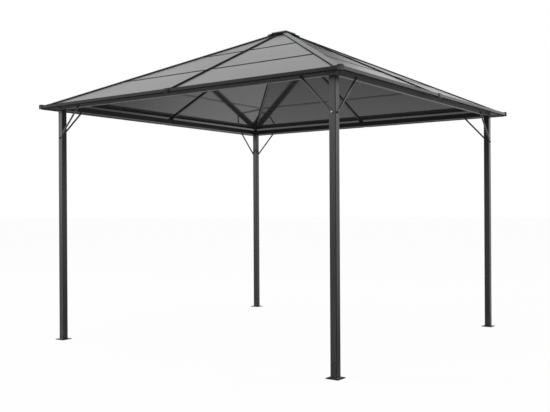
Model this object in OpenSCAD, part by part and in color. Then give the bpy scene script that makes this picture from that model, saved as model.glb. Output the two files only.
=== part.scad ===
// Square open gazebo: four posts, a ring of beams, a hipped roof of flat panels.
// Millimetres. The origin is on the ground under the middle of the roof, +Z up,
// the front side faces -Y and the right side faces +X.

/* [Overall] */
// Side of the square roof, over the eave profiles
roof_w = 3000; // [2400:50:3600]
// Clear height under the beams
head_h = 1968; // [1800:1:2300]
// Slope of the roof in degrees
pitch = 25.5; // [15:0.5:35]
// Eave edge to the centre line of the posts
overhang = 135; // [100:5:250]

/* [Posts and base plates] */
// Side of the square post tube
post_w = 50; // [48:1:80]
// Wall of the post tube
post_wall = 2; // [1:0.5:3]
// Outer radius of the post tube's corners
post_round = 4; // [3.5:0.5:8]
// How far the base plate stands out round the post
plate_margin = 24; // [20:1:50]
// Thickness of the base plate
plate_t = 5; // [3:1:12]
// Radius of the plate's corners
plate_round = 6; // [2:1:10]
// Distance of the anchor holes from the edges of the plate
anchor_inset = 12; // [10:1:13]
// Diameter of the anchor holes
anchor_d = 10; // [8:0.5:12]

/* [Beams and corner straps] */
// Width of the beam tube
beam_w = 25; // [20:1:48]
// Height of the beam tube
beam_h = 45; // [35:1:80]
// Wall of the beam tube
beam_wall = 2; // [1:0.5:2.5]
// Outer radius of the beam tube's corners
beam_round = 3; // [3:0.5:6]
// Free length of a beam between its post and the corner tie
tie_leg = 45; // [40:5:120]
// Height of the corner tie strap
tie_h = 20; // [12:1:30]
// Thickness of the corner tie strap
tie_t = 4; // [3:0.5:6]
// Length of the bolted tab at each end of a corner tie
tie_tab = 28; // [20:1:40]
// Height of the band round the outer corner
band_h = 14; // [10:1:30]
// Thickness of the band
band_t = 3; // [2:0.5:5]
// How far the band runs past the post along each beam
band_reach = 14; // [8:1:40]

/* [Knee braces] */
// Level of the lower brace bolt below the underside of the beams
brace_drop = 240; // [150:5:400]
// Distance of the upper brace bolt from the centre line of the post
brace_run = 240; // [150:5:400]
// Diameter of the brace tube
brace_d = 15; // [10:1:16]
// Width of the flattened brace ends
brace_flat_w = 18; // [14:1:20]
// Thickness of the flattened brace ends
brace_flat_t = 3; // [2:0.5:4]
// Height of the upper brace bolt above the underside of the beam
brace_bolt_up = 11; // [9:1:16]
// Diameter of the brace bolt holes
brace_hole_d = 6.5; // [5:0.5:8]

/* [Rafters and hub] */
// Width of hip and mid rafters
rafter_w = 20; // [16:1:30]
// Depth of hip and mid rafters, square to the roof
rafter_d = 12; // [8:1:40]
// Size of the eight-sided hub across its flats
hub_w = 80; // [76:1:90]
// Depth of the hub below the rafter ends
hub_drop = 12; // [0:1:30]

/* [Roof panels] */
// Thickness of the panels
panel_t = 8; // [6:1:16]
// Width in plan of one course of panels
course_w = 480; // [380:10:540]
// Gap between panels, filled by the joint profiles
panel_gap = 6; // [4:1:10]
// Half size of the opening left between the top panels
peak_gap = 60; // [55:1:80]
// Width of the flanges of a panel joint profile
joint_w = 20; // [14:1:30]
// Thickness of the flanges and the web of a panel joint profile
joint_t = 2; // [1:0.5:3]

/* [Crown] */
// Side of the square crown cap
crown_w = 156; // [130:2:170]
// Slope of the crown cap in degrees
crown_pitch = 12; // [8:1:14]
// Thickness of the crown cap's sheet
crown_t = 3; // [2:0.5:4]
// Height of the crown cap's rim
crown_rim = 6; // [5:1:12]
// Side of the square frame between the crown cap and the roof
crown_frame_w = 208; // [190:2:280]
// Thickness of that frame
crown_frame_t = 8; // [4:1:10]
// Clear height between the frame and the crown cap
crown_gap = 1.5; // [1:0.5:4]

/* [Caps and eaves] */
// Width of a hip cap
hip_cap_w = 48; // [44:1:90]
// Width of a mid cap
mid_cap_w = 34; // [28:1:50]
// Thickness of hip and mid caps
cap_t = 9; // [5:1:14]
// Height of the eave profile above the edge of the panels
eave_rise = 18; // [12:1:30]
// Width of the top flange of the eave profile
eave_lip = 12; // [8:1:16]
// Thickness of the eave profile's web
eave_web = 3; // [2:0.5:4]
// Width of the flange that carries the panel edge
eave_seat = 22; // [16:1:30]
// Leg of the corner cap along each eave
corner_leg = 28; // [20:1:50]
// Width of the eave joiner
joiner_w = 60; // [36:1:60]
// How far corner caps stand up above the eave
corner_rise = 8; // [2:1:14]
// How far joiners stand up above the eave
joiner_rise = 4; // [0:1:10]
// How far corner caps and joiners stand out from the eave
trim_t = 3; // [2:0.5:5]
// Running clearance where profiles butt end to end
fit = 0.3; // [0.2:0.1:0.5]

/* [Hidden] */

// sides by quarter turns from the front; corners by quarter turns from front right
front = 0;
right = 1;
back = 2;
left = 3;
front_right = 0;
back_right = 1;
back_left = 2;
front_left = 3;

half = roof_w / 2;
plate_w = post_w + 2 * plate_margin;
anchor_pitch = plate_w - 2 * anchor_inset;
post_c = half - overhang;
post_out = post_c + post_w / 2;
post_in = post_c - post_w / 2;
beam_in = post_out - beam_w;
beam_top = head_h + beam_h;

// the rafters' undersides meet the top outer edge of the beams
edge_h = beam_top + (panel_t + rafter_d) / cos(pitch) - (half - post_out) * tan(pitch);
eave_top = edge_h + eave_rise;
panel_drop = panel_t / cos(pitch);
seat_drop = joint_t / cos(pitch);
eave_bottom = edge_h - panel_drop - seat_drop;
peak_h = edge_h + half * tan(pitch);

hub_bottom = peak_h - (hub_w / 2) * tan(pitch) - (panel_t + rafter_d) / cos(pitch) - hub_drop;
hip_gap = panel_gap / sqrt(2);
// the mid caps stop where the hip caps close in on them
mid_cap_in = max(peak_gap, mid_cap_w / 2 + hip_cap_w / sqrt(2) + fit);
crown_edge_h = peak_h + (cap_t + crown_frame_t) / cos(pitch)
    - (crown_w / 2 - crown_t) * tan(pitch) + crown_gap + crown_rim;
crown_top = crown_edge_h + crown_w / 2 * tan(crown_pitch);
tie_c = post_in - tie_leg;
tie_skew = tie_t * sqrt(2);

brace_rise = brace_drop + brace_bolt_up;
brace_len = norm([brace_run, brace_rise]);
brace_angle = atan2(brace_rise, brace_run);
// the tube starts and ends clear of the post and of the beam
brace_low_flat = (post_w / 2 + 1 + brace_d / 2 * sin(brace_angle)) / cos(brace_angle);
brace_top_flat = (brace_bolt_up + 1 + brace_d / 2 * cos(brace_angle)) / sin(brace_angle);
// the round and the flat part of a brace share this length
brace_blend = 3;

metal = "#3a3a3d";
sheet = "#8e8e90";
trim = "#2a2a2c";

// height of the panels' top face at a distance r from the middle, square to the eave
function top_h(r) = edge_h + (half - r) * tan(pitch);

module turned(quarters) {
    rotate([0, 0, 90 * quarters]) children();
}

// rectangle with round corners, its lower left corner at the origin
module rounded_outline(size, r) {
    translate([r, 0]) square([size[0] - 2 * r, size[1]]);
    translate([0, r]) square([size[0], size[1] - 2 * r]);
    for (x = [r, size[0] - r], y = [r, size[1] - r])
        translate([x, y]) circle(r = r, $fn = 32);
}

// wall of a tube with round corners
module tube_outline(size, r, wall) {
    difference() {
        rounded_outline(size, r);
        translate([wall, wall])
            rounded_outline([size[0] - 2 * wall, size[1] - 2 * wall], r - wall);
    }
}

// flat layer parallel to the front slope, from t0 to t1 above the panels' top face
module slope_layer(t0, t1) {
    translate([0, -half, edge_h])
        rotate([pitch, 0, 0])
            translate([-roof_w, -roof_w / 4, t0])
                cube([2 * roof_w, roof_w * 1.5, t1 - t0]);
}

// everything under the roof surface moved up by t
module under_roof(t) {
    intersection_for(side = [front:left])
        turned(side) slope_layer(t - roof_w, t);
}

// part of a slope layer that lies over an outline in plan
module on_slope(t0, t1) {
    intersection() {
        slope_layer(t0, t1);
        linear_extrude(height = 2 * peak_h) children();
    }
}

// plan outline between two distances from the middle and two edges, right of the middle;
// the outer edge follows the hip at a set distance along the eave
module plan_course(r_in, r_out, mid_edge, hip_edge) {
    polygon([
        [mid_edge, -r_out],
        [r_out - hip_edge, -r_out],
        [r_in - hip_edge, -r_in],
        [mid_edge, -r_in]
    ]);
}

module both_halves() {
    children();
    mirror([1, 0, 0]) children();
}

// bar that follows the front right hip, w wide, in the layer from t0 to t1
module hip_bar(w, t0, t1, r_in, r_out) {
    side = w / sqrt(2);
    module one_slope() {
        on_slope(t0, t1)
            polygon([[r_in, -r_in], [r_out, -r_out], [r_out - side, -r_out], [r_in - side, -r_in]]);
    }
    union() {
        one_slope();
        mirror([1, 1, 0]) one_slope();
    }
}

module hub_prism(z0, z1) {
    translate([0, 0, z0])
        rotate([0, 0, 22.5])
            cylinder(r = hub_w / 2 / cos(22.5), h = z1 - z0, $fn = 8);
}

module post(corner) {
    color(metal) turned(corner)
        translate([post_in, -post_out, 0]) {
            translate([0, 0, plate_t])
                linear_extrude(height = beam_top - post_wall - plate_t)
                    tube_outline([post_w, post_w], post_round, post_wall);
            translate([0, 0, beam_top - post_wall])
                linear_extrude(height = post_wall)
                    rounded_outline([post_w, post_w], post_round);
        }
}

module base_plate(corner) {
    color(metal) turned(corner)
        translate([post_c, -post_c, 0])
            difference() {
                translate([-plate_w / 2, -plate_w / 2, 0])
                    linear_extrude(height = plate_t)
                        rounded_outline([plate_w, plate_w], plate_round);
                for (x = [-1, 1], y = [-1, 1])
                    translate([x * anchor_pitch / 2, y * anchor_pitch / 2, -1])
                        cylinder(d = anchor_d, h = plate_t + 2, $fn = 48);
            }
}

module beam(side) {
    color(metal) turned(side)
        translate([-post_in, -post_out, head_h])
            rotate([90, 0, 90])
                linear_extrude(height = 2 * post_in)
                    tube_outline([beam_w, beam_h], beam_round, beam_wall);
}

// one brace on the outer face of the front side, with flattened and drilled ends
module brace() {
    module flat_end(from, to) {
        translate([0, 0, -brace_flat_t / 2])
            linear_extrude(height = brace_flat_t)
                difference() {
                    union() {
                        translate([min(from, to), -brace_flat_w / 2])
                            square([abs(to - from), brace_flat_w]);
                        translate([from, 0]) circle(d = brace_flat_w, $fn = 48);
                    }
                    translate([from, 0]) circle(d = brace_hole_d, $fn = 36);
                }
    }
    translate([post_c, -post_out - brace_flat_t / 2, head_h - brace_drop])
        rotate([90, 0, 0])
            rotate([0, 0, 180 - brace_angle]) {
                flat_end(0, brace_low_flat + brace_blend);
                flat_end(brace_len, brace_len - brace_top_flat - brace_blend);
                translate([brace_low_flat, 0, 0])
                    rotate([0, 90, 0])
                        cylinder(d = brace_d, h = brace_len - brace_low_flat - brace_top_flat, $fn = 48);
            }
}

module knee_braces(corner) {
    color(metal) turned(corner) {
        brace();
        mirror([1, 1, 0]) brace();
    }
}

module hip_rafter(corner) {
    color(metal) turned(corner)
        difference() {
            hip_bar(rafter_w, -panel_t - rafter_d, -panel_t, hub_w / 5, half - eave_seat);
            hub_prism(hub_bottom, peak_h);
        }
}

module mid_rafter(side) {
    color(metal) turned(side)
        on_slope(-panel_t - rafter_d, -panel_t)
            translate([-rafter_w / 2, -half + eave_seat])
                square([rafter_w, half - eave_seat - hub_w / 2]);
}

// channel that holds the lower edge of the panels, mitred at the corners
module eave_profile(side) {
    function under_h(r) = top_h(r) - panel_drop;
    seat_end = half - eave_seat;
    web_end = half - eave_web;
    lip_end = half - eave_lip;
    color(metal) turned(side)
        intersection() {
            rotate([90, 0, 90])
                translate([0, 0, -half])
                    linear_extrude(height = roof_w)
                        polygon([
                            [-half, eave_bottom],
                            [-half, eave_top],
                            [-lip_end, eave_top],
                            [-lip_end, top_h(lip_end)],
                            [-web_end, top_h(web_end)],
                            [-web_end, under_h(web_end)],
                            [-seat_end, under_h(seat_end)],
                            [-seat_end, under_h(seat_end) - seat_drop]
                        ]);
            linear_extrude(height = 2 * peak_h)
                polygon([[0, 0], [-half, -half], [half, -half]]);
        }
}

// three courses of panels either side of the mid rafter
module roof_panels(side) {
    outer = half - eave_web;
    joint_1 = half - course_w;
    joint_2 = half - 2 * course_w;
    g = panel_gap / 2;
    color(sheet) turned(side)
        both_halves() {
            on_slope(-panel_t, 0) plan_course(joint_1 + g, outer, g, hip_gap);
            on_slope(-panel_t, 0) plan_course(joint_2 + g, joint_1 - g, g, hip_gap);
            on_slope(-panel_t, 0) plan_course(peak_gap, joint_2 - g, g, hip_gap);
        }
}

// H-shaped profile between two courses
module panel_joint(r) {
    w = joint_w / 2;
    top_hip = (hip_cap_w / 2) * sqrt(2) + fit;
    low_hip = (rafter_w / 2) * sqrt(2) + fit;
    union() {
        on_slope(0, joint_t)
            plan_course(r - w, r + w, mid_cap_w / 2 + fit, top_hip);
        on_slope(-panel_t, 0)
            plan_course(r - joint_t / 2, r + joint_t / 2, mid_cap_w / 2 + fit, top_hip);
        on_slope(-panel_t - joint_t, -panel_t)
            plan_course(r - w, r + w, rafter_w / 2 + fit, low_hip);
    }
}

module panel_joints(side) {
    color(trim) turned(side)
        both_halves() {
            panel_joint(half - course_w);
            panel_joint(half - 2 * course_w);
        }
}

module hip_caps() {
    color(sheet)
        for (corner = [front_right:front_left])
            turned(corner)
                hip_bar(hip_cap_w, 0, cap_t, peak_gap, half - eave_lip - fit);
}

module mid_caps() {
    color(trim)
        for (side = [front:left])
            turned(side)
                on_slope(0, cap_t)
                    translate([-mid_cap_w / 2, -half + eave_lip + fit])
                        square([mid_cap_w, half - eave_lip - fit - mid_cap_in]);
}

module eave_corner_caps() {
    color(trim)
        for (corner = [front_right:front_left])
            turned(corner)
                translate([half, -half, eave_bottom])
                    linear_extrude(height = eave_top - eave_bottom + corner_rise)
                        difference() {
                            translate([-corner_leg, -trim_t])
                                square(corner_leg + trim_t);
                            translate([-corner_leg - 1, 0])
                                square(corner_leg + 1);
                        }
}

module eave_joiners() {
    color(trim)
        for (side = [front:left])
            turned(side)
                translate([-joiner_w / 2, -half - trim_t, eave_bottom])
                    cube([joiner_w, trim_t, eave_top - eave_bottom + joiner_rise]);
}

// everything under the crown cap's top face moved up by t
module under_crown(t) {
    intersection_for(side = [front:left])
        turned(side)
            translate([0, 0, crown_top])
                rotate([crown_pitch, 0, 0])
                    translate([-roof_w, -roof_w, t - roof_w])
                        cube([2 * roof_w, 2 * roof_w, roof_w]);
}

module square_prism(w, z0, z1) {
    translate([-w / 2, -w / 2, z0])
        cube([w, w, z1 - z0]);
}

// low pyramid of sheet with a rim turned down, clear of the roof all round
module crown_cap() {
    color(sheet)
        difference() {
            intersection() {
                square_prism(crown_w, crown_edge_h - crown_rim, crown_top);
                under_crown(0);
            }
            intersection() {
                square_prism(crown_w - 2 * crown_t, crown_edge_h - crown_rim - 1, crown_top);
                under_crown(-crown_t);
            }
        }
}

// square frame that lies on the hip and mid caps under the crown cap
module crown_frame() {
    color(trim)
        difference() {
            intersection() {
                square_prism(crown_frame_w, 0, 2 * peak_h);
                under_roof(cap_t + crown_frame_t);
                under_crown(-crown_t - crown_gap);
            }
            under_roof(cap_t);
            square_prism(2 * peak_gap, 0, 2 * peak_h);
        }
}

// eight-sided block that takes the rafters and carries the crown cap
module apex_hub() {
    color(metal)
        intersection() {
            hub_prism(hub_bottom, crown_top);
            under_crown(-crown_t);
        }
}

// bent strap across each inner corner of the beam ring, and a band round the outer one
module corner_ties() {
    bend_c = post_out - post_round;
    module tab() {
        translate([tie_c - tie_skew - tie_tab, -beam_in])
            square([tie_tab + tie_skew, tie_t]);
    }
    module band_leg() {
        translate([post_in - band_reach, -post_out - band_t])
            square([bend_c - post_in + band_reach, band_t]);
    }
    module band_bend() {
        intersection() {
            translate([bend_c, -bend_c])
                difference() {
                    circle(r = post_round + band_t, $fn = 64);
                    circle(r = post_round, $fn = 64);
                }
            translate([bend_c, -post_out - band_t])
                square(post_round + band_t);
        }
    }
    color(metal)
        for (corner = [front_right:front_left])
            turned(corner)
                translate([0, 0, head_h + (beam_h - tie_h) / 2])
                    linear_extrude(height = tie_h)
                        union() {
                            polygon([
                                [tie_c, -beam_in],
                                [beam_in, -tie_c],
                                [beam_in, -tie_c + tie_skew],
                                [tie_c - tie_skew, -beam_in]
                            ]);
                            tab();
                            mirror([1, 1]) tab();
                        }
    color(trim)
        for (corner = [front_right:front_left])
            turned(corner)
                translate([0, 0, head_h])
                    linear_extrude(height = band_h)
                        union() {
                            band_leg();
                            mirror([1, 1]) band_leg();
                            band_bend();
                        }
}

// wedges that fill the space between the rafters and the level tops of beams and posts
module rafter_seats() {
    rise = post_w;
    color(metal)
        for (side = [front:left])
            turned(side) {
                intersection() {
                    slope_layer(-roof_w, -panel_t - rafter_d);
                    translate([-rafter_w / 2, -post_out, beam_top])
                        cube([rafter_w, beam_w, rise]);
                }
                intersection() {
                    under_roof(-panel_t - rafter_d);
                    translate([post_in, -post_out, beam_top])
                        cube([post_w, post_w, rise]);
                    rotate([0, 0, -45])
                        translate([0, -rafter_w / 2, 0])
                            cube([roof_w, rafter_w, 2 * peak_h]);
                }
            }
}

post(front_left);  // post_front_left
post(front_right);  // post_front_right
post(back_right);  // post_back_right
post(back_left);  // post_back_left
base_plate(front_left);  // base_plate_front_left
base_plate(front_right);  // base_plate_front_right
base_plate(back_right);  // base_plate_back_right
base_plate(back_left);  // base_plate_back_left
beam(front);  // beam_front
beam(right);  // beam_right
beam(back);  // beam_back
beam(left);  // beam_left
knee_braces(front_left);  // knee_braces_front_left
knee_braces(front_right);  // knee_braces_front_right
knee_braces(back_right);  // knee_braces_back_right
knee_braces(back_left);  // knee_braces_back_left
hip_rafter(front_left);  // hip_rafter_front_left
hip_rafter(front_right);  // hip_rafter_front_right
hip_rafter(back_right);  // hip_rafter_back_right
hip_rafter(back_left);  // hip_rafter_back_left
mid_rafter(front);  // mid_rafter_front
mid_rafter(right);  // mid_rafter_right
mid_rafter(back);  // mid_rafter_back
mid_rafter(left);  // mid_rafter_left
eave_profile(front);  // eave_profile_front
eave_profile(right);  // eave_profile_right
eave_profile(back);  // eave_profile_back
eave_profile(left);  // eave_profile_left
roof_panels(front);  // roof_panels_front
roof_panels(right);  // roof_panels_right
roof_panels(back);  // roof_panels_back
roof_panels(left);  // roof_panels_left
panel_joints(front);  // panel_joints_front
panel_joints(right);  // panel_joints_right
panel_joints(back);  // panel_joints_back
panel_joints(left);  // panel_joints_left
hip_caps();
mid_caps();
eave_corner_caps();
eave_joiners();
crown_cap();
crown_frame();
apex_hub();
corner_ties();
rafter_seats();
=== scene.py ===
import math

import bmesh
import bpy
from mathutils import Matrix, Vector


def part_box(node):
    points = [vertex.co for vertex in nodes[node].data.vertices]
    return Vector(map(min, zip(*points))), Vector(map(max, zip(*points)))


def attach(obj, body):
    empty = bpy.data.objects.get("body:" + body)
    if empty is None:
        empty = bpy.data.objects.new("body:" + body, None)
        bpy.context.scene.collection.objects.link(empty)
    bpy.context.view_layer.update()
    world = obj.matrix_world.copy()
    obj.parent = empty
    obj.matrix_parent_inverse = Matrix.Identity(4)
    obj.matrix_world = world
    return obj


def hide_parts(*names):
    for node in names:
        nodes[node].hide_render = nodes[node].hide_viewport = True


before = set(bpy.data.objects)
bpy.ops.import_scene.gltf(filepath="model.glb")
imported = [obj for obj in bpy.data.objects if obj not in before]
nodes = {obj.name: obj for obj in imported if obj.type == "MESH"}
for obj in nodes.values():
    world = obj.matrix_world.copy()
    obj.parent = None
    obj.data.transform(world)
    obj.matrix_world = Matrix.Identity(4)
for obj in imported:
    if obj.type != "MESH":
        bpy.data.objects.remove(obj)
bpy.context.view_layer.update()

sides = ["front", "right", "back", "left"]  # each a quarter turn on from the last
corners = ["front_right", "back_right", "back_left", "front_left"]

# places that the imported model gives
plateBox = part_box("base_plate_front_right")
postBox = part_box("post_front_right")
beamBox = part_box("beam_front")
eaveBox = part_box("eave_profile_front")
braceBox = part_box("knee_braces_front_right")
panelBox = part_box("roof_panels_front")
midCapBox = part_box("mid_caps")

postIn, postOut = postBox[0].x, postBox[1].x
postMid = (postIn + postOut) / 2
beamLow, beamInner = beamBox[0].z, -beamBox[1].y
half, eaveLow, eaveTop = -eaveBox[0].y, eaveBox[0].z, eaveBox[1].z

# the front slope is measured on the largest upper face of its panels
slopeFace = max((face for face in nodes["roof_panels_front"].data.polygons if face.normal.z > 0.5),
                key=lambda face: face.area)
slopeNormal = slopeFace.normal.copy()
slopeAngle = math.atan2(-slopeNormal.y, slopeNormal.z)
slopeTan = math.tan(slopeAngle)
peakHeight = slopeFace.center.z - slopeFace.center.y * slopeTan


class Wire:  # one output socket that can be used in sums
    def __init__(self, finish, socket):
        self.finish = finish
        self.socket = socket

    def maths(self, operation, first, second):
        return self.finish.node("ShaderNodeMath", {"operation": operation}, {0: first, 1: second})

    def __add__(self, other):
        return self.maths("ADD", self, other)

    __radd__ = __add__

    def __sub__(self, other):
        return self.maths("SUBTRACT", self, other)

    def __rsub__(self, other):
        return self.maths("SUBTRACT", other, self)

    def __mul__(self, other):
        return self.maths("MULTIPLY", self, other)

    __rmul__ = __mul__

    def __abs__(self):
        return self.maths("ABSOLUTE", self, 0.0)


class Finish:  # the nodes of one material, or of the world
    def __init__(self, owner, ending="ShaderNodeOutputMaterial"):
        self.owner = owner
        owner.use_nodes = True
        self.tree = owner.node_tree
        self.tree.nodes.clear()
        self.output = self.tree.nodes.new(ending)

    def fill(self, socket, value):
        if isinstance(value, Wire):
            self.tree.links.new(value.socket, socket)
        elif socket.type == "RGBA" and len(value) == 3:
            socket.default_value = (*value, 1.0)
        else:
            socket.default_value = value

    def node(self, kind, settings=None, values=None, output=0):
        made = self.tree.nodes.new(kind)
        for name, value in (settings or {}).items():
            setattr(made, name, value)
        for name, value in (values or {}).items():
            self.fill(made.inputs[name], value)
        return Wire(self, made.outputs[output])

    def place(self):
        return self.node("ShaderNodeTexCoord", output="Object")

    def axis(self, vector, letter):
        return self.node("ShaderNodeSeparateXYZ", None, {0: vector}, output=letter)

    def mapped(self, vector, scale=(1, 1, 1), turn=0.0):
        return self.node("ShaderNodeMapping", None,
                         {"Vector": vector, "Scale": scale, "Rotation": (0, 0, turn)})

    def noise(self, vector, scale, detail=2.0, rough=0.5):
        return self.node("ShaderNodeTexNoise", None,
                         {"Vector": vector, "Scale": scale, "Detail": detail, "Roughness": rough})

    def between(self, value, low, high):  # 0 at low, 1 at high, smooth in between
        return self.node("ShaderNodeMapRange", {"clamp": True, "interpolation_type": "SMOOTHSTEP"},
                         {"Value": value, "From Min": low, "From Max": high})

    def mixColour(self, factor, first, second):
        return self.node("ShaderNodeMix", {"data_type": "RGBA"}, {0: factor, 6: first, 7: second}, output=2)

    def normal(self):
        return self.node("ShaderNodeNewGeometry", output="True Normal")

    def upwards(self):  # 1 on faces that look up, 0 on faces that look down
        return self.between(self.axis(self.normal(), "Z"), -0.2, 0.2)

    def edges(self, radius):  # 1 along sharp edges, 0 on flat faces
        rounded = self.node("ShaderNodeBevel", {"samples": 4}, {"Radius": radius})
        along = self.node("ShaderNodeVectorMath", {"operation": "DOT_PRODUCT"},
                          {0: rounded, 1: self.normal()}, output="Value")
        return self.between(1 - along, 0.02, 0.25)

    def bump(self, height, strength, distance):
        return self.node("ShaderNodeBump", None,
                         {"Height": height, "Strength": strength, "Distance": distance})

    def principled(self, **values):
        return self.node("ShaderNodeBsdfPrincipled", None,
                         {name.replace("_", " "): value for name, value in values.items()})

    def blend(self, factor, first, second):
        return self.node("ShaderNodeMixShader", None, {0: factor, 1: first, 2: second})

    def close(self, shader):
        self.tree.links.new(shader.socket, self.output.inputs["Surface"])
        return self.owner


def newFinish(name):
    return Finish(bpy.data.materials.new(name))


# the dark corner line, the paler outer faces and the under faces switch on what only some of the coated
# pieces have; the corner line is painted shade and the outer faces are painted light
frameLook = {"dark": (0.0060, 0.0059, 0.0078), "pale": (0.0105, 0.0104, 0.0128), "cloudScale": 3.0,
             "rough": 0.34, "roughSwing": 0.14, "gloss": 0.5, "grainScale": 420.0,
             "grainBump": (0.12, 0.0004),
             "worn": (0.07, 0.07, 0.07), "edge": 0.0012, "wearScale": 34.0, "wearFrom": (0.5, 0.68),
             "wearShare": 0.6,
             "dust": (0.10, 0.095, 0.09), "splashTop": 0.22, "splashScale": 26.0,
             "splashFrom": (0.42, 0.75), "splashShare": 0.3, "splashRough": 0.2,
             "cornerShade": 0.0, "cornerShadeColour": (0.012, 0.012, 0.013), "cornerShadeWide": 0.0042, "cornerShadeFull": 0.0028,
             "cornerShadeShare": 0.6,
             "outer": None, "outerFade": 0.004, "outerFull": 0.001, "outerLow": 0.0, "lowFade": 0.002,
             "under": None, "underGloss": 0.28, "underRough": 0.1, "underSwing": 0.06}


def powderCoat(name, look):
    coat = newFinish(name)
    place = coat.place()
    cloud = coat.noise(place, look["cloudScale"], detail=3.0)
    grain = coat.noise(place, look["grainScale"], detail=2.0, rough=0.6)
    patches = coat.noise(place, look["wearScale"], detail=4.0, rough=0.7)
    wear = coat.edges(look["edge"]) * coat.between(patches, *look["wearFrom"])
    spots = coat.noise(place, look["splashScale"], detail=4.0, rough=0.7)
    splash = coat.between(coat.axis(place, "Z"), look["splashTop"], 0.0)
    splash = splash * coat.between(spots, *look["splashFrom"])
    colour = coat.mixColour(cloud, look["dark"], look["pale"])
    if look["outer"]:  # painted light: the outer faces of the beams and of the post tops get a paler colour than their inner faces, for the light they catch
        far = coat.node("ShaderNodeMath", {"operation": "MAXIMUM"},
                        {0: abs(coat.axis(place, "X")), 1: abs(coat.axis(place, "Y"))})
        litOutside = coat.between(far, postOut - look["outerFade"], postOut - look["outerFull"])
        low = look["outerLow"]
        litOutside = litOutside * coat.between(coat.axis(place, "Z"), low - look["lowFade"], low)
        colour = coat.mixColour(litOutside, colour, look["outer"])
    colour = coat.mixColour(splash * look["splashShare"], colour, look["dust"])
    colour = coat.mixColour(wear * look["wearShare"], colour, look["worn"])
    rough = look["rough"] + (cloud - 0.5) * look["roughSwing"] + splash * look["splashRough"]
    shader = coat.principled(Base_Color=colour, Roughness=rough, IOR=1.5, Specular_IOR_Level=look["gloss"],
                             Normal=coat.bump(grain, *look["grainBump"]))
    if look["cornerShade"]:  # painted shade: a dark line down the rounded outer corner of each post, where its reflection falls off
        reach = abs(coat.axis(place, "X")) + abs(coat.axis(place, "Y"))
        cornerShade = coat.between(reach, look["cornerShade"] - look["cornerShadeWide"], look["cornerShade"] - look["cornerShadeFull"])
        dull = coat.node("ShaderNodeBsdfDiffuse", None, {"Color": look["cornerShadeColour"]})
        shader = coat.blend(cornerShade * look["cornerShadeShare"], shader, dull)
    if look["under"]:  # faces that look down are as smooth as the sheets beside them
        smooth = coat.principled(Base_Color=coat.mixColour(cloud, look["under"], look["pale"]), IOR=1.5,
                                 Specular_IOR_Level=look["underGloss"],
                                 Roughness=look["underRough"] + cloud * look["underSwing"])
        shader = coat.blend(coat.upwards(), smooth, shader)
    return coat.close(shader)


panelLook = {"topDark": (0.062, 0.062, 0.063), "topPale": (0.078, 0.078, 0.080), "cloudScale": 1.6,
             "streak": (0.05, 0.05, 0.05), "streakFrom": (0.5, 0.8), "streakShare": 0.12,
             "stretch": (5.0, 1.2, 1.2), "under": (0.022, 0.022, 0.023), "topRough": 0.23,
             "underRough": 0.07, "roughSwing": 0.06, "waveScale": 2.5, "waveBump": (0.02, 0.004)}


def panelSheet(name, look, quarter):
    sheet = newFinish(name)
    place = sheet.mapped(sheet.place(), turn=quarter * math.pi / 2)
    up = sheet.upwards()
    cloud = sheet.noise(place, look["cloudScale"], detail=3.0)
    streak = sheet.between(sheet.noise(sheet.mapped(place, look["stretch"]), 1.0), *look["streakFrom"])
    top = sheet.mixColour(cloud, look["topDark"], look["topPale"])
    top = sheet.mixColour(streak * look["streakShare"], top, look["streak"])
    # painted shade: the undersides get the darker under colour, for the shade under the roof
    colour = sheet.mixColour(up, look["under"], top)
    rough = look["topRough"] - look["underRough"] + (cloud - 0.5) * look["roughSwing"]
    rough = look["underRough"] + up * rough
    wave = sheet.noise(place, look["waveScale"], detail=1.0)
    return sheet.close(sheet.principled(Base_Color=colour, Roughness=rough, IOR=1.5,
                                        Normal=sheet.bump(wave, *look["waveBump"])))


mouldLook = {"dark": (0.010, 0.010, 0.011), "pale": (0.018, 0.018, 0.019), "cloudScale": 9.0,
             "rough": 0.52, "roughSwing": 0.2, "gloss": 0.25, "pitScale": 900.0, "pitBump": (0.15, 0.0003),
             "rubbed": (0.05, 0.05, 0.05), "edge": 0.001, "rubScale": 60.0, "rubFrom": (0.45, 0.7),
             "rubShare": 0.5}


def moulded(name, look):
    mould = newFinish(name)
    place = mould.place()
    cloud = mould.noise(place, look["cloudScale"], detail=3.0)
    pits = mould.noise(place, look["pitScale"], detail=2.0, rough=0.6)
    patches = mould.noise(place, look["rubScale"], detail=3.0, rough=0.6)
    rub = mould.edges(look["edge"]) * mould.between(patches, *look["rubFrom"])
    colour = mould.mixColour(cloud, look["dark"], look["pale"])
    colour = mould.mixColour(rub * look["rubShare"], colour, look["rubbed"])
    rough = look["rough"] + (cloud - 0.5) * look["roughSwing"]
    return mould.close(mould.principled(Base_Color=colour, Roughness=rough, IOR=1.5,
                                        Specular_IOR_Level=look["gloss"],
                                        Normal=mould.bump(pits, *look["pitBump"])))


steelLook = {"dark": (0.28, 0.28, 0.275), "pale": (0.42, 0.42, 0.41), "cloudScale": 120.0, "rough": 0.30,
             "roughSwing": 0.2, "brushScale": 900.0, "stretch": (1.0, 1.0, 12.0), "brushBump": (0.1, 0.0002)}


def brightSteel(name, look):
    steel = newFinish(name)
    place = steel.place()
    cloud = steel.noise(place, look["cloudScale"], detail=3.0)
    brushed = steel.noise(steel.mapped(place, look["stretch"]), look["brushScale"])
    colour = steel.mixColour(cloud, look["dark"], look["pale"])
    return steel.close(steel.principled(Base_Color=colour, Metallic=1.0,
                                        Roughness=look["rough"] + (cloud - 0.5) * look["roughSwing"],
                                        Normal=steel.bump(brushed, *look["brushBump"])))


def assign(piece, material):
    piece.data.materials.clear()
    piece.data.materials.append(material)


# painted light and shade: the posts get a painted dark line down their outer corner, and the post tops and
# the beams get a paler colour on their outer faces
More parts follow.
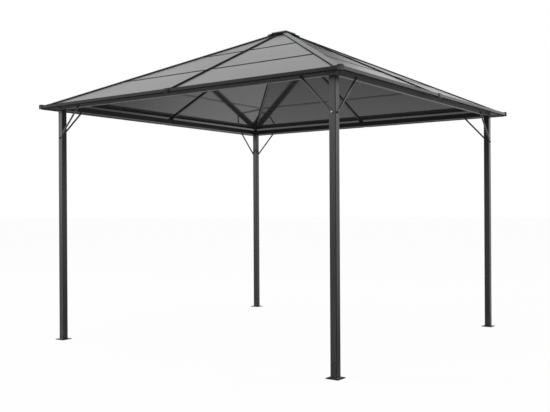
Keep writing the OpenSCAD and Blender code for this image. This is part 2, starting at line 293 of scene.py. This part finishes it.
postLook = {**frameLook, "cornerShade": 2 * postOut, "outer": (0.070, 0.070, 0.073), "outerLow": beamLow}
beamLook = {**frameLook, "outer": (0.082, 0.082, 0.085), "rough": 0.42}
tubeLook = {**frameLook, "dark": (0.042, 0.042, 0.043), "pale": (0.056, 0.056, 0.058), "rough": 0.32}
eaveLook = {**frameLook, "dark": (0.004, 0.004, 0.005), "pale": (0.007, 0.007, 0.008), "gloss": 0.33}
trimLook = {**frameLook, "dark": (0.010, 0.010, 0.011), "pale": (0.016, 0.016, 0.017),
            "worn": (0.03, 0.03, 0.03), "rough": 0.7, "gloss": 0.06}
capLook = {**frameLook, "dark": (0.16, 0.16, 0.162), "pale": (0.20, 0.20, 0.202),
           "worn": (0.30, 0.30, 0.30), "rough": 0.45}
# this dark rubber serves both the hip gaskets and the painted-shade strips under the fascias
gasketAndShadeLook = {**mouldLook, "dark": (0.004, 0.004, 0.004), "pale": (0.008, 0.008, 0.008), "rough": 0.8,
              "gloss": 0.04, "pitScale": 500.0}
paleGasketLook = {**gasketAndShadeLook, "dark": (0.05, 0.05, 0.05), "pale": (0.09, 0.09, 0.09), "gloss": 0.1}
# painted shade: a darker copy of the panel sheet for the left and right slopes than for the front and back
alongShadedLook = {**panelLook, "topDark": (0.046, 0.046, 0.047), "topPale": (0.058, 0.058, 0.060)}

frameCoat = powderCoat("frameCoat", frameLook)
postCoat = powderCoat("postCoat", postLook)
beamCoat = powderCoat("beamCoat", beamLook)
braceCoat = powderCoat("braceCoat", tubeLook)
eaveCoat = powderCoat("eaveCoat", eaveLook)
# painted shade: a copy of the eave coat with less gloss, so that the front fascia and front joiner render
# darker than the other sides
eaveCoatFrontShaded = powderCoat("eaveCoatFrontShaded", {**eaveLook, "gloss": 0.13})
trimCoat = powderCoat("trimCoat", trimLook)
jointCoat = powderCoat("jointCoat", {**trimLook, "under": (0.010, 0.010, 0.010)})
capCoat = powderCoat("capCoat", capLook)
cornerPlastic = moulded("cornerPlastic", mouldLook)
gasketAndShadeRubber = moulded("gasketAndShadeRubber", gasketAndShadeLook)
paleRubber = moulded("paleRubber", paleGasketLook)
boltSteel = brightSteel("boltSteel", steelLook)
sheetAcross = panelSheet("panelSheetAcross", panelLook, 0)
sheetAlongShaded = panelSheet("panelSheetAlongShaded", alongShadedLook, 1)

# the first start that fits a node's name gives its finish
finishOf = {"eave_profile_front": eaveCoatFrontShaded, "eave_profile": eaveCoat, "roof_panels_front": sheetAcross,
            "roof_panels_back": sheetAcross, "roof_panels": sheetAlongShaded, "panel_joints": jointCoat,
            "post_": postCoat, "beam_": beamCoat, "corner_ties": beamCoat, "crown_cap": capCoat,
            "crown_frame": trimCoat}
for name, node in nodes.items():
    fitting = [coat for start, coat in finishOf.items() if name.startswith(start)]
    assign(node, fitting[0] if fitting else frameCoat)
print("finishes done")


def alone(*pieces):  # selects these pieces and nothing else
    bpy.ops.object.select_all(action="DESELECT")
    for piece in pieces:
        piece.select_set(True)
    bpy.context.view_layer.objects.active = pieces[0]


def applyPlace(piece):
    alone(piece)
    bpy.ops.object.transform_apply(location=True, rotation=True, scale=True)
    return piece


def newest(name):
    piece = bpy.context.active_object
    piece.name = name
    return piece


def disc(name, count, radius, thick, base=0.0):  # a cylinder whose foot is at this height
    bpy.ops.object.select_all(action="DESELECT")
    bpy.ops.mesh.primitive_cylinder_add(vertices=count, radius=radius, depth=thick,
                                        location=(0, 0, base + thick / 2))
    return newest(name)


def block(name, low, high):
    bpy.ops.object.select_all(action="DESELECT")
    low, high = Vector(low), Vector(high)
    bpy.ops.mesh.primitive_cube_add(size=1, location=(low + high) / 2)
    piece = newest(name)
    piece.scale = high - low
    return applyPlace(piece)


def pick(piece, kind, test):  # in edit mode: selects the faces, edges or verts that pass a test
    bpy.ops.mesh.select_mode(type={"faces": "FACE", "edges": "EDGE", "verts": "VERT"}[kind])
    bpy.ops.mesh.select_all(action="DESELECT")
    mesh = bmesh.from_edit_mesh(piece.data)
    for part in getattr(mesh, kind):
        if test(part):
            part.select_set(True)
    mesh.select_flush_mode()
    bmesh.update_edit_mesh(piece.data)


def facing(direction, limit=0.9):
    return lambda face: face.normal.dot(Vector(direction)) > limit


def edit(piece):
    alone(piece)
    bpy.ops.object.mode_set(mode="EDIT")


def leave():
    bpy.ops.object.mode_set(mode="OBJECT")


def cut(piece, point, normal, fill=True):  # removes what lies beyond the plane
    edit(piece)
    bpy.ops.mesh.select_all(action="SELECT")
    bpy.ops.mesh.bisect(plane_co=point, plane_no=normal, use_fill=fill, clear_outer=True)
    leave()


def applied(piece, kind, **settings):
    alone(piece)
    modifier = piece.modifiers.new(kind.lower(), kind)
    for name, value in settings.items():
        setattr(modifier, name, value)
    bpy.ops.object.modifier_apply(modifier=modifier.name)


def softEdges(piece, width, segments=2, angle=35):
    applied(piece, "BEVEL", width=width, segments=segments, limit_method="ANGLE",
            angle_limit=math.radians(angle), harden_normals=False)
    alone(piece)
    bpy.ops.object.shade_smooth_by_angle(angle=math.radians(angle))


def standOn(piece, point, outward):  # its own upward direction becomes the outward one
    turned = Vector(outward).to_track_quat("Z", "Y").to_matrix().to_4x4()
    piece.matrix_world = Matrix.Translation(point) @ turned
    return applyPlace(piece)


def copied(piece, name, turn=0):  # a copy turned by quarter turns about the middle of the roof
    alone(piece)
    bpy.ops.object.duplicate(linked=False)
    other = newest(name)
    other.rotation_euler = (0, 0, turn * math.pi / 2)
    return applyPlace(other)


def joined(name, pieces):
    alone(*pieces)
    if len(pieces) > 1:
        bpy.ops.object.join()
    return newest(name)


def tidyNormals(piece):
    edit(piece)
    bpy.ops.mesh.select_all(action="SELECT")
    bpy.ops.mesh.remove_doubles(threshold=0.00002)
    bpy.ops.mesh.normals_make_consistent(inside=False)
    leave()


def ready(piece, slot, material, *replaced):
    assign(piece, material)
    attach(piece, "root")
    if replaced:
        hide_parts(*replaced)


def around(piece, name, slot, material, labels, replaced=None):  # four copies, one a side or a corner
    for turn, label in enumerate(labels):
        other = copied(piece, name + "_" + label, turn)
        ready(other, slot, material, *([replaced] if replaced else []))
    bpy.data.objects.remove(piece, do_unlink=True)


hipLook = {"width": 0.048, "thick": 0.009, "skin": 0.0026, "skinRound": 0.0008, "inset": 0.0016,
           "plug": 0.030, "plugRound": 0.0012, "roundAbove": 25, "spare": 0.05, "over": 0.03,
           "merge": 0.0002}
hipAlong = Vector((1, -1, -slopeTan)).normalized()
hipAcross = slopeNormal.cross(hipAlong)
if hipAcross.x > 0:
    hipAcross.negate()
hipIn, hipOut = -panelBox[1].y, -midCapBox[0].y


def onSlope(name, along, across, lengths, widths, layers):  # a block laid on the front slope from the peak
    piece = block(name, (lengths[0], widths[0], layers[0]), (lengths[1], widths[1], layers[1]))
    turned = Matrix((along, across, slopeNormal)).transposed().to_4x4()
    piece.matrix_world = Matrix.Translation((0, 0, peakHeight)) @ turned
    applyPlace(piece)
    tidyNormals(piece)
    return piece


def hipStrip(name, width, layers, inner, outer):  # half a strip on the front slope, mirrored over the hip
    reach = math.sqrt(2) * width / 2 * math.sqrt(1 - hipAlong.x ** 2)
    start, end = inner / hipAlong.x - hipLook["spare"], outer / hipAlong.x + hipLook["spare"]
    piece = onSlope(name, hipAlong, hipAcross, (start, end), (-hipLook["over"], reach), layers)
    cut(piece, (0, 0, 0), (1, 1, 0), fill=False)
    cut(piece, (0, -outer, 0), (0, -1, 0))
    cut(piece, (0, -inner, 0), (0, 1, 0))
    bpy.ops.object.select_all(action="DESELECT")
    bpy.ops.object.empty_add(rotation=(0, 0, math.pi / 4))
    hipPlane = bpy.context.active_object
    applied(piece, "MIRROR", use_axis=(True, False, False), mirror_object=hipPlane,
            merge_threshold=hipLook["merge"])
    bpy.data.objects.remove(hipPlane, do_unlink=True)
    tidyNormals(piece)
    return piece


gasketTop, plugIn = hipLook["thick"] - hipLook["skin"], hipOut - hipLook["plug"]
skin = hipStrip("hipSkin", hipLook["width"], (gasketTop, hipLook["thick"]), hipIn, plugIn)
softEdges(skin, hipLook["skinRound"], angle=hipLook["roundAbove"])
gasket = hipStrip("hipGasket", hipLook["width"] - 2 * hipLook["inset"], (0, gasketTop), hipIn, plugIn)
plug = hipStrip("hipPlug", hipLook["width"], (0, hipLook["thick"]), plugIn, hipOut)
softEdges(plug, hipLook["plugRound"], angle=hipLook["roundAbove"])
gasket = joined("hipGasket", [gasket, plug])
around(skin, "hip_cap_skin", "cap_coating", capCoat, corners, "hip_caps")
around(gasket, "hip_cap_gasket", "joint_trim", gasketAndShadeRubber, corners, "hip_caps")
assign(bpy.data.objects["hip_cap_gasket_back_right"], paleRubber)  # this one gets a paler rubber than the other three
print("hip caps done")


midLook = {"width": 0.034, "base": 0.0055, "thick": 0.009, "rib": 0.009, "short": 0.004, "round": 0.0007}
midAlong = Vector((0, -math.cos(slopeAngle), -math.sin(slopeAngle)))
midAcross = slopeNormal.cross(midAlong)


def buildMidCap():
    ends = (hipIn / math.cos(slopeAngle), (hipOut - midLook["short"]) / math.cos(slopeAngle))
    cap = onSlope("midCap", midAlong, midAcross, ends, (-midLook["width"] / 2, midLook["width"] / 2),
                  (0, midLook["base"]))
    edit(cap)
    pick(cap, "faces", facing(slopeNormal))
    bpy.ops.mesh.inset(thickness=midLook["rib"])
    bpy.ops.mesh.extrude_region_move(
        TRANSFORM_OT_translate={"value": slopeNormal * (midLook["thick"] - midLook["base"])})
    leave()
    softEdges(cap, midLook["round"])
    return cap


around(buildMidCap(), "mid_cap", "joint_trim", trimCoat, sides, "mid_caps")
print("mid caps done")


headLook = {"radius": 0.0034, "height": 0.0022, "sides": 16, "roundShare": 0.7, "flatArea": 0.000004,
            "rimShare": 0.25, "sunkShare": 0.35}


def domeHead(name, point, outward, radius=None, height=None):  # round screw head standing on a face
    radius = radius or headLook["radius"]
    height = height or headLook["height"]
    head = disc(name, headLook["sides"], radius, height)
    edit(head)
    pick(head, "faces", facing((0, 0, 1)))
    bpy.ops.mesh.bevel(offset=height * headLook["roundShare"], segments=3)
    pick(head, "faces", lambda face: face.normal.z > 0.95 and face.calc_area() > headLook["flatArea"])
    bpy.ops.mesh.inset(thickness=radius * headLook["rimShare"])
    bpy.ops.mesh.extrude_region_move(
        TRANSFORM_OT_translate={"value": (0, 0, -height * headLook["sunkShare"])})
    leave()
    standOn(head, point, outward)
    bpy.ops.object.shade_smooth_by_angle(angle=math.radians(40))
    return head


cornerLook = {"leg": 0.028, "thick": 0.003, "rise": 0.008, "lid": 0.002, "border": 0.0045, "sunk": 0.0007,
              "spare": 0.01, "round": 0.0009, "leastHigh": 0.02}


def buildCornerCap():
    leg, thick, spare = cornerLook["leg"], cornerLook["thick"], cornerLook["spare"]
    top = eaveTop + cornerLook["rise"]
    cap = block("cornerCap", (half - leg, -half - thick, eaveLow), (half + thick, -half + leg, top))
    hollow = block("hollow", (half - leg - spare, -half, eaveLow - spare),
                   (half, -half + leg + spare, top - cornerLook["lid"]))
    applied(cap, "BOOLEAN", object=hollow, operation="DIFFERENCE", solver="EXACT")
    bpy.data.objects.remove(hollow, do_unlink=True)
    for outward in ((0, -1, 0), (1, 0, 0)):
        edit(cap)
        pick(cap, "faces", lambda face: facing(outward)(face)
             and face.calc_area() > leg * cornerLook["leastHigh"])
        bpy.ops.mesh.inset(thickness=cornerLook["border"])
        bpy.ops.mesh.extrude_region_move(
            TRANSFORM_OT_translate={"value": Vector(outward) * -cornerLook["sunk"]})
        leave()
    softEdges(cap, cornerLook["round"])
    return cap


around(buildCornerCap(), "eave_corner_cap", "corner_plastic", cornerPlastic, corners, "eave_corner_caps")
print("corner caps done")


joinerLook = {"width": 0.060, "thick": 0.0018, "rise": 0.004, "hook": 0.012, "above": 0.0005,
              "border": 0.0001, "round": 0.0007, "screwIn": 0.013, "headHigh": 0.0012}


def buildJoiner():
    side, thick = joinerLook["width"] / 2, joinerLook["thick"]
    top, hookLow = eaveTop + joinerLook["rise"], eaveTop + joinerLook["above"]
    plate = block("joiner", (-side, -half - thick, eaveLow), (side, -half, top))
    edit(plate)
    pick(plate, "faces", facing((0, 1, 0)))
    bpy.ops.mesh.inset(thickness=joinerLook["border"])
    bpy.ops.mesh.select_all(action="SELECT")
    bpy.ops.mesh.bisect(plane_co=(0, 0, hookLow), plane_no=(0, 0, 1))
    pick(plate, "faces", lambda face: face.normal.y > 0.9 and face.calc_center_median().z > hookLow)
    bpy.ops.mesh.extrude_region_move(TRANSFORM_OT_translate={"value": (0, joinerLook["hook"], 0)})
    leave()
    softEdges(plate, joinerLook["round"])
    middle = (eaveLow + eaveTop) / 2
    heads = [domeHead("head", (x, -half - thick, middle), (0, -1, 0), height=joinerLook["headHigh"])
             for x in (-side + joinerLook["screwIn"], side - joinerLook["screwIn"])]
    return joined("joiner", [plate] + heads)


around(buildJoiner(), "eave_joiner", "joint_trim", eaveCoat, sides, "eave_joiners")
# the front joiner takes the painted-shade copy too
assign(bpy.data.objects["eave_joiner_front"], eaveCoatFrontShaded)

shadeStripLook = {"height": 0.0062, "drop": 0.001, "thick": 0.0016, "gap": 0.0008, "lip": (0, 0.0004, -0.0009),
            "round": 0.0004}


def buildShadeStrips():  # painted shade: dark strips under the fascia of one side, left and right of its joiner, put where the shade under the eave falls
    start = joinerLook["width"] / 2 + shadeStripLook["gap"]
    end = half - cornerLook["leg"] - shadeStripLook["gap"]
    low, high = eaveLow - shadeStripLook["drop"], eaveLow + shadeStripLook["height"]
    strips = []
    for first, last in ((-end, -start), (start, end)):
        strip = block("shadeStrip", (first, -half - shadeStripLook["thick"], low), (last, -half, high))
        edit(strip)
        pick(strip, "faces", facing((0, 0, -1)))
        bpy.ops.mesh.extrude_region_move(TRANSFORM_OT_translate={"value": shadeStripLook["lip"]})
        leave()
        softEdges(strip, shadeStripLook["round"])
        strips.append(strip)
    return joined("shadeStrips", strips)


# painted shade: these dark strips stand in for the shade under each fascia
around(buildShadeStrips(), "eave_drip_seals", "joint_trim", gasketAndShadeRubber, sides)
print("eave trim done")


braceLook = {"radius": 0.0075, "flatWide": 0.018, "flatThick": 0.003, "blend": 0.016,
             "lowFlat": 0.0445, "topFlat": 0.0240, "sides": 20, "tipSteps": (0.0, 0.08, 0.25, 0.5, 0.75, 1.0),
             "blendSteps": (0.0, 0.33, 0.66, 1.0), "leastTip": 0.02, "near": 0.00005}
tip = braceLook["flatWide"] / 2
bracePlane = -postOut - braceLook["flatThick"] / 2
lowBolt = Vector((postMid, bracePlane, braceBox[0].z + tip))
topBolt = Vector((braceBox[0].x + tip, bracePlane, braceBox[1].z - tip))
braceSpan = (topBolt - lowBolt).length


def buildBrace(name, low, high):  # round tube whose ends are pressed flat and rounded off
    radius, flatHalf, near = braceLook["radius"], braceLook["flatThick"] / 2, braceLook["near"]
    whole = braceSpan + 2 * tip
    brace = disc(name, braceLook["sides"], radius, whole)
    applyPlace(brace)
    stations = []  # place along the brace, half width, half thickness
    for share in braceLook["tipSteps"]:
        rounded = tip * math.sqrt(max(1 - (1 - share) ** 2, braceLook["leastTip"]))
        stations.append((share * tip, rounded, flatHalf))
        stations.append((whole - share * tip, rounded, flatHalf))
    for flat, inward in ((tip + braceLook["lowFlat"], 1), (whole - tip - braceLook["topFlat"], -1)):
        for share in braceLook["blendSteps"]:
            ease = share * share * (3 - 2 * share)
            spot = flat - inward * braceLook["blend"] * (1 - share)
            stations.append((spot, tip + (radius - tip) * ease, flatHalf + (radius - flatHalf) * ease))
    edit(brace)
    for spot, wide, thick in stations:
        if near < spot < whole - near:
            bpy.ops.mesh.select_all(action="SELECT")
            bpy.ops.mesh.bisect(plane_co=(0, 0, spot), plane_no=(0, 0, 1))
    for spot, wide, thick in stations:
        pick(brace, "verts", lambda vert: abs(vert.co.z - spot) < near)
        bpy.ops.transform.resize(value=(wide / radius, thick / radius, 1), center_override=(0, 0, spot))
    leave()
    direction = (high - low).normalized()
    brace.rotation_euler = (0, math.atan2(direction.x, direction.z), 0)
    brace.location = low - direction * tip
    applyPlace(brace)
    bpy.ops.object.shade_smooth_by_angle(angle=math.radians(40))
    return brace


def flipped(point):
    return Vector((-point.x, point.y, point.z))


braceRight = buildBrace("braceRight", lowBolt, topBolt)
braceLeft = buildBrace("braceLeft", flipped(lowBolt), flipped(topBolt))
for turn, corner in enumerate(corners):
    pair = [copied(braceRight, "brace", turn), copied(braceLeft, "brace", turn + 1)]
    ready(joined("brace_tubes_" + corner, pair), "frame_coating", braceCoat, "knee_braces_" + corner)
for piece in (braceRight, braceLeft):
    bpy.data.objects.remove(piece, do_unlink=True)
print("braces done")


boltLook = {"washer": 0.0066, "washerThick": 0.0014, "washerRound": 0.0004, "washerSides": 24,
            "head": 0.0052, "headHigh": 0.0046, "headRound": 0.0009, "cover": 0.0072, "coverHigh": 0.0062,
            "coverSides": 20, "coverRound": 0.6, "coverWall": 0.0008, "coverSunk": 0.0003}


def hexBolt(name, point, outward):  # hexagon head on a washer
    washer = disc("washer", boltLook["washerSides"], boltLook["washer"], boltLook["washerThick"])
    softEdges(washer, boltLook["washerRound"])
    head = disc("head", 6, boltLook["head"], boltLook["headHigh"], boltLook["washerThick"])
    edit(head)
    pick(head, "faces", facing((0, 0, 1)))
    bpy.ops.mesh.bevel(offset=boltLook["headRound"], segments=2)
    leave()
    bolt = joined(name, [washer, head])
    applyPlace(bolt)
    standOn(bolt, point, outward)
    bpy.ops.object.shade_smooth_by_angle(angle=math.radians(30))
    return bolt


def boltCover(name, point, outward):  # domed plastic cover pushed over a bolt head
    cover = disc(name, boltLook["coverSides"], boltLook["cover"], boltLook["coverHigh"])
    applyPlace(cover)
    edit(cover)
    pick(cover, "faces", facing((0, 0, 1)))
    bpy.ops.mesh.bevel(offset=boltLook["coverHigh"] * boltLook["coverRound"], segments=4)
    pick(cover, "faces", facing((0, 0, -1)))
    bpy.ops.mesh.inset(thickness=boltLook["coverWall"])
    bpy.ops.mesh.extrude_region_move(TRANSFORM_OT_translate={"value": (0, 0, boltLook["coverSunk"])})
    leave()
    standOn(cover, point, outward)
    bpy.ops.object.shade_smooth_by_angle(angle=math.radians(40))
    return cover


outer = Vector((0, -braceLook["flatThick"] / 2, 0))
coverPlaces = {"right": (lowBolt + outer, topBolt + outer),
               "left": (flipped(lowBolt) + outer, flipped(topBolt) + outer)}
bareBolt = hexBolt("brace_bolt_bare", coverPlaces["right"][0], (0, -1, 0))
ready(bareBolt, "frame_coating", boltSteel)
covers = {side: [boltCover("cover", point, (0, -1, 0)) for point in points]
          for side, points in coverPlaces.items()}
for turn, corner in enumerate(corners):
    here = [copied(piece, "cover", turn) for piece in covers["right"]]
    here += [copied(piece, "cover", turn + 1) for piece in covers["left"]]
    if corner == "front_right":  # its front lower bolt has lost its cover
        bpy.data.objects.remove(here.pop(0), do_unlink=True)
    ready(joined("brace_bolt_covers_" + corner, here), "corner_plastic", cornerPlastic)
for piece in covers["right"] + covers["left"]:
    bpy.data.objects.remove(piece, do_unlink=True)

tieLook = {"leg": 0.045, "thick": 0.004, "tab": 0.028}
bandLook = {"thick": 0.003, "high": 0.014, "reach": 0.014}
tieBolt = Vector((postIn - tieLook["leg"] - tieLook["thick"] * math.sqrt(2) - tieLook["tab"] / 2,
                  -beamInner + tieLook["thick"], (beamBox[0].z + beamBox[1].z) / 2))
bandScrew = Vector((postIn - bandLook["reach"] / 2, -postOut - bandLook["thick"],
                    beamLow + bandLook["high"] / 2))
tieBolts = [hexBolt("bolt", tieBolt, (0, 1, 0)), hexBolt("bolt", flipped(tieBolt), (0, 1, 0))]
bandScrews = [domeHead("head", bandScrew, (0, -1, 0)), domeHead("head", flipped(bandScrew), (0, -1, 0))]
around(joined("tieBolts", tieBolts), "tie_bolts", "frame_coating", frameCoat, sides)
around(joined("bandScrews", bandScrews), "band_screws", "joint_trim", trimCoat, sides)
print("bolts done")


weldLook = {"wide": 0.0055, "high": 0.0045, "inside": 0.0015, "topShare": 0.99, "round": 0.0012,
            "roundAbove": 50, "near": 0.001}


def buildWeld():  # fillet weld round the foot of a post
    low, high = plateBox[1].z, plateBox[1].z + weldLook["high"]
    weld = block("weld", (postIn, -postOut, low), (postOut, -postIn, high))
    middle, topMiddle = Vector((postMid, -postMid, low)), Vector((postMid, -postMid, high))
    grown = 1 + 2 * weldLook["wide"] / (postOut - postIn)
    edit(weld)
    pick(weld, "faces", facing((0, 0, -1)))
    bpy.ops.transform.resize(value=(grown, grown, 1), center_override=middle)
    pick(weld, "faces", lambda face: abs(face.normal.z) > 0.9)
    bpy.ops.mesh.inset(thickness=weldLook["inside"])
    pick(weld, "faces", lambda face: face.normal.z > 0.9 and len(face.verts) == 4
         and (face.calc_center_median() - topMiddle).length < weldLook["near"])
    bpy.ops.transform.resize(value=(weldLook["topShare"], weldLook["topShare"], 1), center_override=middle)
    pick(weld, "faces", lambda face: abs(face.normal.z) > 0.9
         and (face.calc_center_median().xy - middle.xy).length < weldLook["near"])
    bpy.ops.mesh.bridge_edge_loops()
    bpy.ops.mesh.select_all(action="SELECT")
    bpy.ops.mesh.subdivide(number_cuts=3)
    leave()
    softEdges(weld, weldLook["round"], angle=weldLook["roundAbove"])
    return weld


around(buildWeld(), "post_weld", "frame_coating", frameCoat, corners)
print("welds done")


view = {"eye": (3.981, -5.622, 1.086), "turn": 36.02, "lean": 0.305, "lens": 50.20, "sensor": 36,
        "shiftUp": 0.0101, "farEnd": 400}

camera = bpy.data.objects.new("camera", bpy.data.cameras.new("camera"))
bpy.context.scene.collection.objects.link(camera)
camera.location = view["eye"]
camera.rotation_euler = (math.radians(90), math.radians(view["lean"]), math.radians(view["turn"]))
camera.data.lens = view["lens"]
camera.data.sensor_width = view["sensor"]
camera.data.shift_y = view["shiftUp"]
camera.data.clip_end = view["farEnd"]
bpy.context.scene.camera = camera

floorLook = {"size": 240.0, "colour": (0.90, 0.90, 0.90), "glow": 0.95, "shade": 0.67, "shadeIn": 0.4,
             "shadeOut": 3.2, "lift": -0.07, "front": 0.66, "frontIn": -3.2, "frontOut": -4.6}

bpy.ops.object.select_all(action="DESELECT")
bpy.ops.mesh.primitive_plane_add(size=floorLook["size"], location=(0, 0, 0))
floor = newest("floor")
ground = newFinish("floorPaper")


def seen(finish, *kinds):  # 1 for these kinds of ray
    found = sum(finish.node("ShaderNodeLightPath", output="Is " + kind + " Ray") for kind in kinds)
    return finish.node("ShaderNodeMath", {"operation": "MINIMUM"}, {0: found, 1: 1.0})


def seenDirectly(finish):
    return seen(finish, "Camera", "Glossy", "Transmission")


along = ground.axis(ground.place(), "Y")  # painted shade: what gloss reflects of the floor is darker under the roof, a painted roof shadow, and darker far in front
paintedRoofShadow = ground.between(abs(along), floorLook["shadeOut"], floorLook["shadeIn"]) * (
    floorLook["shade"] + floorLook["lift"])
paintedFrontShade = ground.between(along, floorLook["frontIn"], floorLook["frontOut"]) * floorLook["front"]
mirrored = seen(ground, "Glossy") * (floorLook["lift"] - paintedRoofShadow - paintedFrontShade)
paper = ground.node("ShaderNodeBsdfDiffuse", None, {"Color": floorLook["colour"]})
glow = ground.node("ShaderNodeEmission", None, {"Color": 1 + mirrored, "Strength": 1.0})
assign(floor, ground.close(ground.blend(seenDirectly(ground) * floorLook["glow"], paper, glow)))

skyLook = {"light": (0.94, 0.97, 1.0), "strength": 0.62, "card": (-0.588, 0.809), "cardOut": 0.985,
           "cardIn": 0.994, "cardTop": 0.44, "cardFull": 0.34, "cardDark": 1.0, "high": 0.14, "highIn": 0.22,
           "highOut": 0.42}
# soft boxes that only gloss sees: where each stands, how wide it fades out, and between which heights
softBoxes = [{"place": (-0.788, -0.532, 0.309), "out": 0.90, "in": 1.0, "bright": 3.2,
              "fade": (0.22, 0.12)},
             {"place": (-0.575, -0.790, 0.210), "out": 0.95, "in": 0.995, "bright": 2.3,
              "fade": (0.115, 0.18)},
             {"place": (0.307, 0.944, 0.122), "out": 0.98, "in": 0.998, "bright": 1.5,
              "fade": (0.05, 0.11)},
             {"place": (0.56, 0.78, 0.28), "out": 0.93, "in": 1.0, "bright": 0.45, "fade": (-0.2, -0.1)}]

world = bpy.data.worlds.new("studio")
bpy.context.scene.world = world
sky = Finish(world, "ShaderNodeOutputWorld")
direction = sky.node("ShaderNodeTexCoord", output="Generated")
level = sky.node("ShaderNodeVectorMath", {"operation": "MULTIPLY"}, {0: direction, 1: (1, 1, 0)})
level = sky.node("ShaderNodeVectorMath", {"operation": "NORMALIZE"}, {0: level})
towards = sky.node("ShaderNodeVectorMath", {"operation": "DOT_PRODUCT"},
                   {0: level, 1: (*skyLook["card"], 0.0)}, output="Value")
height = sky.axis(direction, "Z")
card = sky.between(towards, skyLook["cardOut"], skyLook["cardIn"])
card = card * sky.between(height, skyLook["cardTop"], skyLook["cardFull"])
mirrors = 1 - sky.between(height, skyLook["highIn"], skyLook["highOut"]) * skyLook["high"]
mirrors = mirrors * (1 - card * skyLook["cardDark"]) - 1
for look in softBoxes:
    facingBox = sky.node("ShaderNodeVectorMath", {"operation": "DOT_PRODUCT"},
                         {0: direction, 1: look["place"]}, output="Value")
    shine = sky.between(facingBox, look["out"], look["in"]) * sky.between(height, *look["fade"])
    mirrors = mirrors + shine * look["bright"]
plain = sky.node("ShaderNodeBackground", None, {"Color": skyLook["light"], "Strength": skyLook["strength"]})
white = sky.node("ShaderNodeBackground", None, {"Color": 1 + mirrors * seen(sky, "Glossy"), "Strength": 1.0})
sky.close(sky.blend(seenDirectly(sky), plain, white))

lampLook = {"keyLight": {"place": (-7.0, -6.0, 6.5), "aim": (0, 0, 1.6), "size": (4.0, 3.0), "power": 520},
            "fillLight": {"place": (6.0, 3.0, 6.0), "aim": (0, 0, 1.5), "size": (4.0, 3.0), "power": 160}}

for name, look in lampLook.items():
    light = bpy.data.lights.new(name, "AREA")
    light.shape = "RECTANGLE"
    light.size, light.size_y = look["size"]
    light.energy = look["power"]
    lamp = bpy.data.objects.new(name, light)
    bpy.context.scene.collection.objects.link(lamp)
    lamp.location = look["place"]
    lamp.rotation_euler = (Vector(look["aim"]) - Vector(look["place"])).to_track_quat("-Z", "Y").to_euler()

bpy.context.scene.view_settings.view_transform = "Standard"
print("camera and light done")
